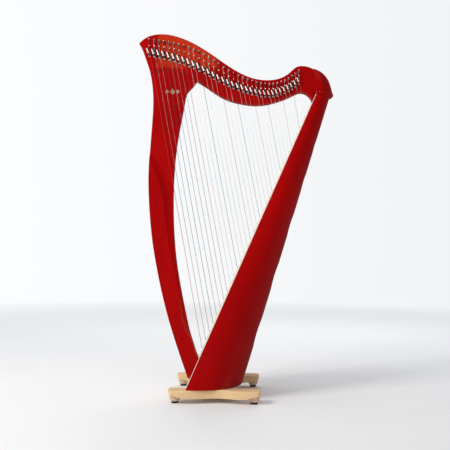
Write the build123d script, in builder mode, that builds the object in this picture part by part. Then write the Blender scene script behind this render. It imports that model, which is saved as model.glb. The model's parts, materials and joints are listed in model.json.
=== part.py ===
from build123d import *
import math
import os

# Lever harp with 34 strings, in millimetres. +Z is up, +X points from the pillar to the player's
# shoulder, and -Y is the harp's left side, where the strings and the levers are.
# The origin is on the floor, under the middle of the bounding box.

os.makedirs("parts", exist_ok=True)

# ---- driving dimensions ----

string_count = 34

# Stand: two bars under the body, each on two turned feet with rubber pads
pad_height = 7
pad_radius = 12.5
knob_height = 11
knob_top_radius = 19
knob_bottom_radius = 13
bar_height = 30
bar_width = 60
bar_length = 332
bar_spacing = 320
bar_waist = 22
bar_end_radius = 14
bar_end_flat = 30
bar_waist_shift = 20
bar_toe_height = 15
bar_toe_length = 60
bar_top_rounding = 3
foot_center_x = -64
foot_inset = 24

# Soundbox: half a cone with a flat front, cut level at both ends
body_bottom_z = pad_height + knob_height + bar_height
body_top_z = 1150
body_bottom_front_x = -169
body_top_front_x = 308.4
body_bottom_depth = 205
body_top_depth = 59
body_bottom_half_width = 183
body_top_half_width = 58
shell_wall = 7
board_thickness = 3
bottom_board_thickness = 18
top_block_height = 62
lining_width = 14
lining_depth = 10
brace_heights = (352, 556, 736, 889)
brace_width = 14
brace_depth = 9

# Sound holes on the back: height of the centre, and half sizes across and up
sound_holes = ((240, 46, 62), (455, 40, 54), (650, 33, 46), (815, 27, 38), (955, 21, 30))

# Staves of the body's back: where they part, as shares of the half width, and how far back the
# two side staves meet, as a share of the depth. The middle one is cut short round each sound hole.
stave_edges = (0.34, 0.62, 0.80)
side_stave_share = 0.45
wood_past_hole = 8
cutter_reach = 900
past_the_ends = 10

# String rib on the front of the soundboard, and the inner rib behind it
rib_bottom_z = 138
rib_top_z = 1124
inner_rib_top_z = 1084
rib_bottom_half_width = 11
rib_top_half_width = 7
rib_thickness = 5
inner_rib_thickness = 8
eyelet_radius = 2.0
eyelet_bore = 1.1
eyelet_rim_radius = 3.0
eyelet_rim_thickness = 0.8

# Neck, pillar and shoulder. The neck and pillar stand a little to the right of the soundboard's
# middle, so that the strings beside them rise nearly straight from the rib.
neck_center_y = 8
neck_half_thickness = 16
pillar_head_half_thickness = 12
pillar_column_half_thickness = 22
cove_width = 38
bead_height = 11
bead_overhang = 13.6
cap_front_x = 304
edge_radius = 2.5

# Strings, pins and levers, measured from the neck's left face
string_offset = 8.5
first_string_x = -340
first_gap_at_neck = 19.6
last_gap_at_neck = 13.0
first_narrower_gap = 16
rib_first_z = 172
first_gap_on_rib = 35.0
rib_gap_step = 0.326
tuning_pin_radius = 2.5
tuning_pin_reach = 20
key_square = 4.4
key_length = 14
bridge_pin_radius = 1.6
bridge_pin_reach = 11.5
bridge_pin_depth = 16
running_gap = 0.05

# Knot that holds each string behind the inner rib
knot_radius = 2.6
knot_length = 4
knot_gap = 0.1

# Levers. Those marked * are for the largest of the three sizes, and the smaller two are scaled down.
lever_sizes = ((11, 1.0), (22, 0.9), (34, 0.8))
lever_lean = 22
string_beside_hub = 5.6  # *
lever_foot_width = 6.5  # *
lever_foot_thickness = 1.6
ring_radius = 4.4  # *
ring_bore = 2.9  # *
ring_height = 5.5
cheek_offset = 5.7  # *
cheek_width = 7.0  # *
cheek_thickness = 1.2  # *
pivot_pin_radius = 1.2  # *
hub_radius = 4.0  # *
hub_height = 8.2
hub_below_pivot = 5.0
handle_half_width = 2.6  # *
handle_tip_half_width = 2.0  # *
handle_straight = 16.0  # *
handle_length = 19.5  # *
handle_thickness = 2.6
finger_radius = 0.9
finger_length = 8.0  # *
finger_forward = 2.0
finger_recess = 0.35
screw_radius = 1.2
screw_depth = 12
screw_head_radius = 2.5  # *
screw_head_height = 2.2
clearance = 0.6

red_strings = range(1, string_count + 1, 7)
black_strings = range(4, string_count + 1, 7)

left_face_y = neck_center_y - neck_half_thickness
string_plane_y = left_face_y - string_offset


# ---- outlines that several pieces share ----

def body_front_x(z):
    """Front plane of the soundboard at a height."""
    share = (z - body_bottom_z) / (body_top_z - body_bottom_z)
    return body_bottom_front_x + share * (body_top_front_x - body_bottom_front_x)


def body_depth(z):
    """Depth of the body from the soundboard's front to the back, at a height."""
    share = (z - body_bottom_z) / (body_top_z - body_bottom_z)
    return body_bottom_depth + share * (body_top_depth - body_bottom_depth)


def body_half_width(z):
    """Half the width of the soundboard at a height."""
    share = (z - body_bottom_z) / (body_top_z - body_bottom_z)
    return body_bottom_half_width + share * (body_top_half_width - body_bottom_half_width)


board_run = body_top_front_x - body_bottom_front_x
board_rise = body_top_z - body_bottom_z
board_slope = math.atan2(board_run, board_rise)
board_along = Vector(math.sin(board_slope), 0, math.cos(board_slope))
board_normal = Vector(-math.cos(board_slope), 0, math.sin(board_slope))
board_plane = Plane(
    origin=(body_bottom_front_x, 0, body_bottom_z),
    x_dir=(0, -1, 0),
    z_dir=board_normal,
)
board_step_x = board_thickness / math.cos(board_slope)


def d_section(z, front_x, depth, half_width):
    """Level D-shaped section: flat front, sides that bulge a little, and a round back."""
    with BuildSketch(Plane.XY.offset(z)) as section:
        with BuildLine():
            near = Bezier(
                (front_x, -half_width),
                (front_x + 0.68 * depth, -1.1 * half_width),
                (front_x + depth, -0.56 * half_width),
                (front_x + depth, 0),
            )
            mirror(near, about=Plane.XZ)
            Line((front_x, half_width), (front_x, -half_width))
        make_face()
    return section.sketch


def body_section(z, inset):
    """Section of the body behind the soundboard, pulled in from the outside by inset."""
    front_x = body_front_x(z) + board_step_x
    depth = body_depth(z) - board_step_x - inset
    return d_section(z, front_x, depth, body_half_width(z) - inset)


def body_core(z_low, z_high, inset):
    """Solid that fills the body between two heights, pulled in from the outside by inset."""
    with BuildPart() as core:
        loft([body_section(z_low, inset), body_section(z_high, inset)], ruled=True)
    return core.part


def board_strip(low_z, high_z, low_half_width, high_half_width, start, thickness):
    """Strip along the middle of the soundboard, from start above its front face, outwards or inwards."""
    low = (low_z - body_bottom_z) / math.cos(board_slope)
    high = (high_z - body_bottom_z) / math.cos(board_slope)
    with BuildPart() as strip:
        with BuildSketch(board_plane.offset(start)):
            Polygon(
                (-low_half_width, low),
                (low_half_width, low),
                (high_half_width, high),
                (-high_half_width, high),
                align=None,
            )
        extrude(amount=thickness)
    return strip.part


def curve(*points):
    """Smooth curve in the XZ plane, to read heights from."""
    return Spline(*[(x, 0, z) for x, z in points], mode=Mode.PRIVATE)


def height_on(line, x):
    """Height of a curve that runs from low to high X, at one X."""
    low, high = 0.0, 1.0
    for _ in range(30):
        middle = (low + high) / 2
        if (line @ middle).X < x:
            low = middle
        else:
            high = middle
    return (line @ low).Z


# ---- where the strings run ----

tuning_line = curve((-344, 1377), (-264, 1365), (-183, 1345), (-102, 1304), (-21, 1250),
                    (54, 1215), (120, 1199), (183, 1209), (225, 1233), (256, 1261))
bridge_line = curve((-344, 1353), (-262, 1342), (-180, 1318), (-100, 1275), (-21, 1226),
                    (54, 1192), (120, 1180), (183, 1188), (220, 1208), (256, 1241))
lever_line = curve((-348, 1323), (-284, 1311), (-202, 1287), (-142, 1261), (-62, 1217),
                   (-3, 1190), (68, 1167), (120, 1157), (183, 1168), (262, 1225))


def gap_at_neck(number):
    """Distance between one bridge pin and the next, which shrinks in the treble."""
    if number < first_narrower_gap:
        return first_gap_at_neck
    share = (number - first_narrower_gap) / (string_count - 1 - first_narrower_gap)
    return first_gap_at_neck + share * (last_gap_at_neck - first_gap_at_neck)


def string_radius(number):
    """Thick wound strings in the bass, thin ones in the treble."""
    return 0.85 - 0.013 * (number - 1)


class HarpString:
    """Places that belong to one string: its pins, its lever and its hole in the rib."""

    def __init__(self, number, neck_x, rib_z):
        self.number = number
        self.radius = string_radius(number)
        self.size = next(size for last, size in lever_sizes if number <= last)
        self.bridge = Vector(neck_x, string_plane_y, height_on(bridge_line, neck_x))
        tuning_x = neck_x - 0.5
        self.tuning = Vector(tuning_x, string_plane_y, height_on(tuning_line, tuning_x))
        beside_bridge = bridge_pin_radius + self.radius + running_gap
        beside_tuning = tuning_pin_radius + self.radius + running_gap
        self.bend = self.bridge - Vector(beside_bridge, 0, 0)
        self.wrap = self.tuning - Vector(beside_tuning, 0, 0)
        self.hole = Vector(body_front_x(rib_z), 0, rib_z)
        self.rib = self.hole + board_normal * (rib_thickness + eyelet_rim_thickness + self.mitre())
        pivot_z = height_on(lever_line, neck_x)
        beside_lever = string_beside_hub * self.size / math.cos(math.radians(lever_lean))
        self.pivot = Vector(self.at_height(pivot_z).X - beside_lever, left_face_y, pivot_z)
        self.pivot_height = self.over_neck(pivot_z) + self.radius + clearance + hub_below_pivot
        lean = math.radians(lever_lean)
        self.across = Vector(math.cos(lean), 0, math.sin(lean))
        self.plane = Plane(origin=self.pivot, x_dir=self.across, z_dir=(0, -1, 0))
        reach = (self.bridge - self.pivot).length
        self.upper_screw_y = min(20 * self.size, 0.93 * reach - 7)
        under_string = self.over_neck(pivot_z - 14 * self.size) - self.radius - clearance
        self.ring_height = min(ring_height, under_string)

    def mitre(self):
        """How far each of two rods stops short of the corner where the string turns into the rib."""
        return 0.55 * self.radius + running_gap

    def at_height(self, z):
        """Point in the middle of the string's speaking length, at a height."""
        share = (self.bend.Z - z) / (self.bend.Z - self.rib.Z)
        return self.bend + (self.rib - self.bend) * share

    def over_neck(self, z):
        """How far the middle of the string stands off the neck's left face, at a height."""
        return left_face_y - self.at_height(z).Y

    def on_neck(self, across, along):
        """Point on the neck's left face, from the lever's own directions, as X and Z."""
        point = self.plane.from_local_coords(Vector(across, along, 0))
        return (point.X, point.Z)

    def ring(self):
        """Middle of the lever's lower screw."""
        return (0.5 * self.size, -10 * self.size)

    def upper_screw(self):
        """Middle of the lever's upper screw."""
        return (0.4 * self.upper_screw_y, self.upper_screw_y)


strings = []
neck_x = first_string_x
rib_z = rib_first_z
for number in range(1, string_count + 1):
    strings.append(HarpString(number, neck_x, rib_z))
    neck_x += gap_at_neck(number)
    rib_z += (first_gap_on_rib - rib_gap_step * (number - 1)) * math.cos(board_slope)


rib_places = [tuple(board_plane.to_local_coords(s.hole))[:2] for s in strings]


# ---- stand ----

foot_reach = bar_length / 2 - foot_inset
foot_places = [
    (foot_center_x + end * foot_reach, edge * bar_spacing / 2) for edge in (-1, 1) for end in (-1, 1)
]

with BuildPart() as foot_pads:
    with BuildSketch(Plane.XY):
        with Locations(*foot_places):
            Circle(pad_radius)
    extrude(amount=pad_height)
    fillet(foot_pads.edges().filter_by(GeomType.CIRCLE).group_by(Axis.Z)[0], 1)
foot_pads.part.label = "foot_pads"

# The knobs run on up into the sloping ends of the bars, which cut them off below
knob_top_z = pad_height + knob_height + bar_toe_height

with BuildPart() as one_knob:
    with BuildSketch(Plane.XZ):
        with BuildLine():
            Polyline(
                (knob_bottom_radius, pad_height),
                (0, pad_height),
                (0, knob_top_z),
                (knob_top_radius, knob_top_z),
                (knob_top_radius, pad_height + knob_height),
            )
            Spline(
                (knob_top_radius, pad_height + knob_height),
                (knob_bottom_radius, pad_height),
                tangents=[(0, -1), (-1, -0.6)],
            )
        make_face()
    revolve(axis=Axis.Z)


def foot_bar(side):
    """Bar that runs front to back under one edge of the body, with a waisted outer face."""
    outer = side * (bar_spacing + bar_width) / 2
    inner = side * (bar_spacing - bar_width) / 2
    front = foot_center_x - bar_length / 2
    back = foot_center_x + bar_length / 2
    bottom_z = pad_height + knob_height
    with BuildPart() as bar:
        with BuildSketch(Plane.XY.offset(bottom_z)) as plan:
            with BuildLine():
                Line((front, inner), (front, outer))
                Line((front, outer), (front + bar_end_flat, outer))
                Spline(
                    (front + bar_end_flat, outer),
                    (foot_center_x + bar_waist_shift, outer - side * bar_waist),
                    (back - bar_end_flat, outer),
                    tangents=[(1, 0), (1, 0)],
                )
                Line((back - bar_end_flat, outer), (back, outer))
                Line((back, outer), (back, inner))
                Line((back, inner), (front, inner))
            make_face()
            ends = plan.vertices().group_by(Axis.X)
            fillet(ends[0] + ends[-1], bar_end_radius)
        extrude(amount=bar_height)
        with BuildSketch(Plane.XZ):
            for tip, inward in ((front, 1), (back, -1)):
                Polygon(
                    (tip, bottom_z),
                    (tip, bottom_z + bar_toe_height),
                    (tip + inward * bar_toe_length, bottom_z),
                    align=None,
                )
        extrude(amount=bar_spacing, both=True, mode=Mode.SUBTRACT)
        fillet(bar.faces().sort_by(Axis.Z)[-1].edges(), bar_top_rounding)
    return bar.part


foot_bar_left = foot_bar(-1)
foot_bar_left.label = "foot_bar_left"
foot_bar_right = foot_bar(1)
foot_bar_right.label = "foot_bar_right"

with BuildPart() as foot_knobs:
    with Locations(*foot_places):
        add(one_knob.part)
    add([foot_bar_left, foot_bar_right], mode=Mode.SUBTRACT)
foot_knobs.part.label = "foot_knobs"


# ---- soundbox ----

inner_core = body_core(body_bottom_z, body_top_z, shell_wall)

with BuildPart() as whole_shell:
    add(body_core(body_bottom_z, body_top_z, 0))
    add(inner_core, mode=Mode.SUBTRACT)
    for hole_z, half_across, half_up in sound_holes:
        back_x = body_front_x(hole_z) + body_depth(hole_z)
        with BuildSketch(Plane.YZ.offset(back_x - 45)):
            with Locations((0, hole_z)):
                Ellipse(half_across, half_up)
        extrude(amount=90, mode=Mode.SUBTRACT)


def at_width(share, z):
    """Place on the YZ plane at a share of the body's half width, at a height."""
    return (share * body_half_width(z), z)


def at_depth(share, z):
    """Place on the XZ plane at a share of the depth behind the soundboard, at a height."""
    depth = body_depth(z) - board_step_x
    return (body_front_x(z) + board_step_x + share * depth, z)


def stave(plane, corners, cut_plane=None, cut_corners=()):
    """Part of the shell inside an outline seen square to one plane, and then a second one."""
    with BuildPart() as piece:
        add(whole_shell.part)
        with BuildSketch(plane):
            Polygon(*corners, align=None)
        extrude(amount=cutter_reach, both=True, mode=Mode.INTERSECT)
        if cut_plane:
            with BuildSketch(cut_plane):
                Polygon(*cut_corners, align=None)
            extrude(amount=cutter_reach, both=True, mode=Mode.INTERSECT)
    return piece.part


stave_low = body_bottom_z - past_the_ends
stave_high = body_top_z + past_the_ends
staves = []
for side in (-1, 1):
    for inner_edge, outer_edge in zip(stave_edges, stave_edges[1:]):
        corners = [
            at_width(side * inner_edge, stave_low),
            at_width(side * outer_edge, stave_low),
            at_width(side * outer_edge, stave_high),
            at_width(side * inner_edge, stave_high),
        ]
        staves.append(stave(Plane.YZ, corners))
    corners = [
        at_width(side * stave_edges[-1], stave_low),
        at_width(side * 2, stave_low),
        at_width(side * 2, stave_high),
        at_width(side * stave_edges[-1], stave_high),
    ]
    for front_share, back_share in ((-1, side_stave_share), (side_stave_share, 2)):
        cut_corners = [
            at_depth(front_share, stave_low),
            at_depth(back_share, stave_low),
            at_depth(back_share, stave_high),
            at_depth(front_share, stave_high),
        ]
        staves.append(stave(Plane.YZ, corners, Plane.XZ, cut_corners))

# The middle stave: plain between the sound holes, and eight pieces round each of them
middle_edge = stave_edges[0]
plain_low = stave_low
for hole_z, half_across, half_up in sound_holes:
    low = hole_z - half_up - wood_past_hole
    high = hole_z + half_up + wood_past_hole
    corners = [
        at_width(-middle_edge, plain_low),
        at_width(middle_edge, plain_low),
        at_width(middle_edge, low),
        at_width(-middle_edge, low),
    ]
    staves.append(stave(Plane.YZ, corners))
    around = [
        at_width(middle_edge, hole_z),
        at_width(middle_edge, high),
        (0, high),
        at_width(-middle_edge, high),
        at_width(-middle_edge, hole_z),
        at_width(-middle_edge, low),
        (0, low),
        at_width(middle_edge, low),
    ]
    for start, end in zip(around, around[1:] + around[:1]):
        staves.append(stave(Plane.YZ, [(0, hole_z), start, end]))
    plain_low = high
corners = [
    at_width(-middle_edge, plain_low),
    at_width(middle_edge, plain_low),
    at_width(middle_edge, stave_high),
    at_width(-middle_edge, stave_high),
]
staves.append(stave(Plane.YZ, corners))

soundbox_shell = Compound([solid for piece in staves for solid in piece.solids()])
soundbox_shell.label = "soundbox_shell"


def level_slab(z_low, z_high):
    """Slab wide enough to cut any level slice out of the body."""
    with BuildPart() as slab:
        with BuildSketch(Plane.XY.offset(z_low)):
            Rectangle(1200, 600)
        extrude(amount=z_high - z_low)
    return slab.part


with BuildPart() as soundboard:
    add(
        board_strip(
            body_bottom_z - 40,
            body_top_z + 40,
            body_half_width(body_bottom_z - 40),
            body_half_width(body_top_z + 40),
            0,
            -board_thickness,
        )
    )
    add(level_slab(body_bottom_z, body_top_z), mode=Mode.INTERSECT)
    with BuildSketch(board_plane):
        with Locations(*rib_places):
            Circle(2.0)
    extrude(amount=-board_thickness, mode=Mode.SUBTRACT)
soundboard.part.label = "soundboard"


def rib_holes(start, depth, radius):
    """Row of string holes through a rib, as solids to cut with."""
    with BuildPart() as holes:
        with BuildSketch(board_plane.offset(start)):
            with Locations(*rib_places):
                Circle(radius)
        extrude(amount=depth)
    return holes.part


with BuildPart() as string_rib:
    add(
        board_strip(
            rib_bottom_z, rib_top_z, rib_bottom_half_width, rib_top_half_width, 0, rib_thickness
        )
    )
    fillet(string_rib.faces().sort_by(Axis(origin=(0, 0, 0), direction=board_normal))[-1].edges(), 1.5)
    add(rib_holes(0, rib_thickness, eyelet_radius), mode=Mode.SUBTRACT)
string_rib.part.label = "string_rib"

with BuildPart() as inner_rib:
    add(
        board_strip(
            rib_bottom_z,
            inner_rib_top_z,
            rib_bottom_half_width + 3,
            rib_top_half_width + 3,
            -board_thickness,
            -inner_rib_thickness,
        )
    )
    add(rib_holes(-board_thickness, -inner_rib_thickness, eyelet_radius), mode=Mode.SUBTRACT)
inner_rib.part.label = "inner_rib"

with BuildPart() as string_eyelets:
    with BuildSketch(board_plane.offset(rib_thickness)):
        with Locations(*rib_places):
            Circle(eyelet_rim_radius)
    extrude(amount=eyelet_rim_thickness)
    with BuildSketch(board_plane.offset(rib_thickness)):
        with Locations(*rib_places):
            Circle(eyelet_radius - 0.02)
    extrude(amount=-rib_thickness)
    with BuildSketch(board_plane.offset(rib_thickness + eyelet_rim_thickness)):
        with Locations(*rib_places):
            Circle(eyelet_bore)
    extrude(amount=-rib_thickness - eyelet_rim_thickness, mode=Mode.SUBTRACT)
string_eyelets.part.label = "string_eyelets"

with BuildPart() as side_linings:
    add(inner_core)
    add(
        board_strip(
            body_bottom_z - 40,
            body_top_z + 40,
            body_half_width(body_bottom_z - 40),
            body_half_width(body_top_z + 40),
            -board_thickness,
            -lining_depth,
        ),
        mode=Mode.INTERSECT,
    )
    add(
        board_strip(
            body_bottom_z - 40,
            body_top_z + 40,
            body_half_width(body_bottom_z - 40) - shell_wall - lining_width,
            body_half_width(body_top_z + 40) - shell_wall - lining_width,
            0,
            -2 * lining_depth,
        ),
        mode=Mode.SUBTRACT,
    )
    add(
        level_slab(body_bottom_z + bottom_board_thickness, body_top_z - top_block_height),
        mode=Mode.INTERSECT,
    )
side_linings.part.label = "side_linings"

with BuildPart() as soundbox_braces:
    for height in brace_heights:
        add(body_core(height - brace_width / 2, height + brace_width / 2, shell_wall))
    for height in brace_heights:
        low = height - brace_width
        high = height + brace_width
        add(body_core(low, high, shell_wall + brace_depth), mode=Mode.SUBTRACT)
    add(
        board_strip(
            body_bottom_z,
            body_top_z,
            body_half_width(body_bottom_z),
            body_half_width(body_top_z),
            0,
            -board_thickness - lining_depth - 1,
        ),
        mode=Mode.SUBTRACT,
    )
soundbox_braces.part.label = "soundbox_braces"

with BuildPart() as bottom_board:
    add(body_core(body_bottom_z, body_bottom_z + bottom_board_thickness, shell_wall))
bottom_board.part.label = "bottom_board"

with BuildPart() as top_block:
    add(body_core(body_top_z - top_block_height, body_top_z, shell_wall))
top_block.part.label = "top_block"

# Block inside the foot of the body that takes the two bolts of the pillar
block_bottom_z = body_bottom_z + bottom_board_thickness
block_top_z = 134
block_half_width = 45
block_depth = 35
with BuildPart() as pillar_block:
    add(
        board_strip(
            block_bottom_z - 20,
            block_top_z,
            block_half_width,
            block_half_width,
            -board_thickness,
            -block_depth,
        )
    )
    add(level_slab(block_bottom_z, block_top_z), mode=Mode.INTERSECT)
pillar_block.part.label = "pillar_block"


# ---- neck ----

joint_points = [
    (-153, 1215),
    (-194, 1237),
    (-240, 1251),
    (-282, 1256),
    (-310, 1252.5),
    (-336, 1246),
]


def neck_outline():
    """Outline of the neck in the XZ plane, from the pointed head round to the shoulder."""
    with BuildSketch(Plane.XZ.offset(-neck_center_y)) as outline:
        with BuildLine():
            Spline(
                (-378, 1368),
                (-342, 1393),
                (-300, 1401),
                (-206, 1382),
                (-98, 1322),
                (6, 1252),
                (61, 1227),
                (121, 1217),
                (175, 1225),
                (212, 1247),
                (240, 1270),
                (270, 1272.5),
                (303, 1261),
            )
            Polyline(
                (303, 1261),
                (328, 1234),
                (328, body_top_z + bead_height),
                (body_top_front_x, body_top_z + bead_height),
                (body_top_front_x, body_top_z),
                (body_front_x(1131), 1131),
            )
            Spline(
                (body_front_x(1131), 1131),
                (288, 1154),
                (257, 1170),
                (222, 1158),
                (166, 1135),
                (100, 1120.5),
                (18, 1127),
                (-43, 1146),
                (-98, 1180),
                (-153, 1215),
            )
            Spline(*joint_points)
            Spline((-336, 1246), (-344, 1272), (-356, 1306), (-369, 1340), (-381, 1362))
            ThreePointArc((-381, 1362), (-381, 1365.5), (-378, 1368))
        make_face()
    return outline.sketch


def face_holes(places, radius, depth):
    """Round holes that start at the neck's left face, as solids to cut with."""
    with BuildPart() as holes:
        with BuildSketch(Plane.XZ.offset(-left_face_y)):
            with Locations(*places):
                Circle(radius)
        extrude(amount=-depth)
    return holes.part


tuning_places = [(s.tuning.X, s.tuning.Z) for s in strings]
bridge_places = [(s.bridge.X, s.bridge.Z) for s in strings]
screw_places = [s.on_neck(*s.ring()) for s in strings]
screw_places += [s.on_neck(*s.upper_screw()) for s in strings]

with BuildPart() as neck:
    extrude(neck_outline(), amount=neck_half_thickness, both=True)
    fillet(neck.faces().sort_by(Axis.Y)[0].edges(), edge_radius)
    fillet(neck.faces().sort_by(Axis.Y)[-1].edges(), edge_radius)
    add(
        face_holes(tuning_places, tuning_pin_radius + running_gap, 2 * neck_half_thickness),
        mode=Mode.SUBTRACT,
    )
    add(
        face_holes(bridge_places, bridge_pin_radius + running_gap, bridge_pin_depth + 0.5),
        mode=Mode.SUBTRACT,
    )
    add(face_holes(screw_places, screw_radius + running_gap, screw_depth + 0.5), mode=Mode.SUBTRACT)
neck.part.label = "neck"


# ---- pillar ----

def pillar_outline():
    """Outline of the curved pillar in the XZ plane, from the neck joint down to the soundboard."""
    with BuildSketch(Plane.XZ.offset(-neck_center_y)) as outline:
        with BuildLine():
            Spline(*joint_points)
            Spline(
                (-336, 1246),
                (-328, 1202),
                (-323, 1145),
                (-325, 1060),
                (-333, 930),
                (-336, 830),
                (-331, 715),
                (-318, 590),
                (-296, 467),
                (-257, 307),
                (-202, 139),
                (-178, 73),
            )
            ThreePointArc((-178, 73), (-175, 64), (body_front_x(58), 58))
            Line((body_front_x(58), 58), (body_front_x(131), 131))
            Spline(
                (body_front_x(131), 131),
                (-165, 220),
                (-188, 315),
                (-220, 477),
                (-235, 616),
                (-239.5, 740),
                (-236, 875),
                (-221, 1007),
                (-199, 1133),
                (-189, 1170),
                (-166, 1196),
                (-153, 1215),
            )
        make_face()
    return outline.sketch


# Ridge of the thicker column: height and X where it runs, from below the foot up past the front edge
ridge = (
    (30, -70),
    (206, -162),
    (358, -210),
    (526, -243),
    (673, -268),
    (790, -288),
    (859, -313),
    (906, -337),
    (960, -377),
)
column_front_x = -440


def column_section(z, ridge_x):
    """Level section of the thicker column: flat faces up to the ridge, then a hollow cove."""
    proud = pillar_column_half_thickness
    flat = pillar_head_half_thickness - 0.6
    middle_x = ridge_x + 0.36 * cove_width
    middle = flat + 0.34 * (proud - flat)
    cove_x = ridge_x + cove_width
    with BuildSketch(Plane(origin=(0, neck_center_y, z))) as section:
        with BuildLine():
            Line((column_front_x, proud), (column_front_x, -proud))
            Line((column_front_x, -proud), (ridge_x, -proud))
            ThreePointArc((ridge_x, -proud), (middle_x, -middle), (cove_x, -flat))
            Line((cove_x, -flat), (cove_x, flat))
            ThreePointArc((cove_x, flat), (middle_x, middle), (ridge_x, proud))
            Line((ridge_x, proud), (column_front_x, proud))
        make_face()
    return section.sketch


with BuildPart() as column:
    loft([column_section(z, ridge_x) for z, ridge_x in ridge])
    extrude(pillar_outline(), amount=60, both=True, mode=Mode.INTERSECT)

with BuildPart() as pillar:
    extrude(pillar_outline(), amount=pillar_head_half_thickness, both=True)
    add(column.part)
pillar.part.label = "pillar"


# ---- shoulder ----

with BuildPart() as shoulder_bead:
    bead_depth = body_top_depth + bead_overhang
    bead_half_width = body_top_half_width + bead_overhang / 2
    extrude(
        d_section(body_top_z, body_top_front_x, bead_depth, bead_half_width),
        amount=bead_height,
        dir=(0, 0, 1),
    )
    rims = shoulder_bead.edges().filter_by(lambda edge: edge.center().X > body_top_front_x + 1)
    fillet(rims.group_by(Axis.Z)[0] + rims.group_by(Axis.Z)[-1], 0.45 * bead_height)
shoulder_bead.part.label = "shoulder_bead"

# Heights of the cap with its depth and half width there: a faceted dome that leans in at the top
cap_levels = (
    (body_top_z + bead_height, 74, 61),
    (1188, 67.5, 57),
    (1214, 58.5, 50),
    (1235, 45, 40),
    (1249, 28.5, 29),
    (1258, 11, 19),
)


def cap_section(z, depth, half_width):
    """Level section of the shoulder cap, with two flat facets on each side and a narrow back."""
    with BuildSketch(Plane.XY.offset(z)) as section:
        with BuildLine():
            near = Polyline(
                (cap_front_x, -half_width),
                (cap_front_x + 0.42 * depth, -0.95 * half_width),
                (cap_front_x + 0.86 * depth, -0.56 * half_width),
                (cap_front_x + depth, -0.16 * half_width),
            )
            mirror(near, about=Plane.XZ)
            Line((cap_front_x, -half_width), (cap_front_x, half_width))
            back_x = cap_front_x + depth
            Line((back_x, -0.16 * half_width), (back_x, 0.16 * half_width))
        make_face()
    return section.sketch


with BuildPart() as shoulder_cap:
    loft([cap_section(*level) for level in cap_levels])
    extrude(neck_outline(), amount=neck_half_thickness, both=True, mode=Mode.SUBTRACT)
shoulder_cap.part.label = "shoulder_cap"


# ---- bolts ----

def bolt_shape(plane, radius, length, head_radius, head_height, gap):
    """Round-headed bolt whose head sits under the plane, made larger by gap to cut its hole."""
    with BuildPart() as shape:
        with BuildSketch(plane):
            Circle(radius + gap)
        extrude(amount=length + 10 * gap)
        with BuildSketch(plane):
            Circle(head_radius + gap)
        extrude(amount=-head_height)
    return shape.part


pillar_bolt_heights = (92, 118)
bar_bolt_places = (-140, -78)
bar_bolt_spacing = 296
shoulder_bolt_x = 317
dowel_places = ((-290, 1256), (-220, 1247))
dowel_radius = 4
dowel_length = 50
small_head = 5

# Each bolt: the plane its head is under, radius, length, head radius and head height
bolt_places = []
for height in pillar_bolt_heights:
    along = (height - body_bottom_z) / math.cos(board_slope)
    inner_end = board_plane.from_local_coords(Vector(0, along, -board_thickness - block_depth))
    bolt_places.append((Plane(origin=inner_end, z_dir=board_normal), 4, 75, 7.5, small_head))
for place_x in bar_bolt_places:
    for side in (-1, 1):
        head_z = pad_height + knob_height + small_head
        plane = Plane(origin=(place_x, side * bar_bolt_spacing / 2, head_z), z_dir=(0, 0, 1))
        bolt_places.append((plane, 3, 38, 6, small_head))
plane = Plane(origin=(shoulder_bolt_x, neck_center_y, body_top_z - top_block_height), z_dir=(0, 0, 1))
bolt_places.append((plane, 4, 122, 7.5, small_head))
for place_x, joint_z in dowel_places:
    plane = Plane(origin=(place_x, neck_center_y, joint_z - dowel_length / 2), z_dir=(0, 0, 1))
    bolt_places.append((plane, dowel_radius, dowel_length, dowel_radius, 1))

with BuildPart() as joint_bolts:
    add([bolt_shape(*place, 0) for place in bolt_places])
joint_bolts.part.label = "joint_bolts"

bolt_holes = [bolt_shape(*place, running_gap) for place in bolt_places]


def drilled(piece, name):
    """Piece with the bolt holes drilled through it."""
    with BuildPart() as result:
        add(piece)
        add(bolt_holes, mode=Mode.SUBTRACT)
    result.part.label = name
    return result.part


# ---- pins ----

right_face_y = neck_center_y + neck_half_thickness

with BuildPart() as one_tuning_pin:
    with BuildSketch(Plane.XZ.offset(tuning_pin_reach - left_face_y)):
        Circle(tuning_pin_radius)
    extrude(amount=-tuning_pin_reach - 2 * neck_half_thickness - 3)
    fillet(one_tuning_pin.edges().sort_by(Axis.Y)[0], 1)
    with BuildSketch(Plane.XZ.offset(-right_face_y - 3)):
        Rectangle(key_square, key_square)
    extrude(amount=-key_length)
    chamfer(one_tuning_pin.faces().sort_by(Axis.Y)[-1].edges(), 0.6)

with BuildPart() as tuning_pins:
    with Locations(*[(x, 0, z) for x, z in tuning_places]):
        add(one_tuning_pin.part)
tuning_pins.part.label = "tuning_pins"

# A bridge pin is a post with a collar on the neck and a flange at its tip, to keep the string between
with BuildPart() as one_bridge_pin:
    with BuildSketch(Plane.XY):
        with BuildLine():
            Polyline(
                (0, left_face_y + bridge_pin_depth),
                (bridge_pin_radius, left_face_y + bridge_pin_depth),
                (bridge_pin_radius, left_face_y),
                (bridge_pin_radius + 1, left_face_y),
                (bridge_pin_radius + 1, left_face_y - 1.5),
                (bridge_pin_radius, left_face_y - 2.5),
                (bridge_pin_radius, left_face_y - bridge_pin_reach + 1.6),
                (bridge_pin_radius + 1, left_face_y - bridge_pin_reach + 1),
                (bridge_pin_radius + 1, left_face_y - bridge_pin_reach + 0.4),
                (bridge_pin_radius + 0.4, left_face_y - bridge_pin_reach),
                (0, left_face_y - bridge_pin_reach),
                close=True,
            )
        make_face()
    revolve(axis=Axis.Y)

with BuildPart() as bridge_pins:
    with Locations(*[(x, 0, z) for x, z in bridge_places]):
        add(one_bridge_pin.part)
bridge_pins.part.label = "bridge_pins"


# ---- strings ----

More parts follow.
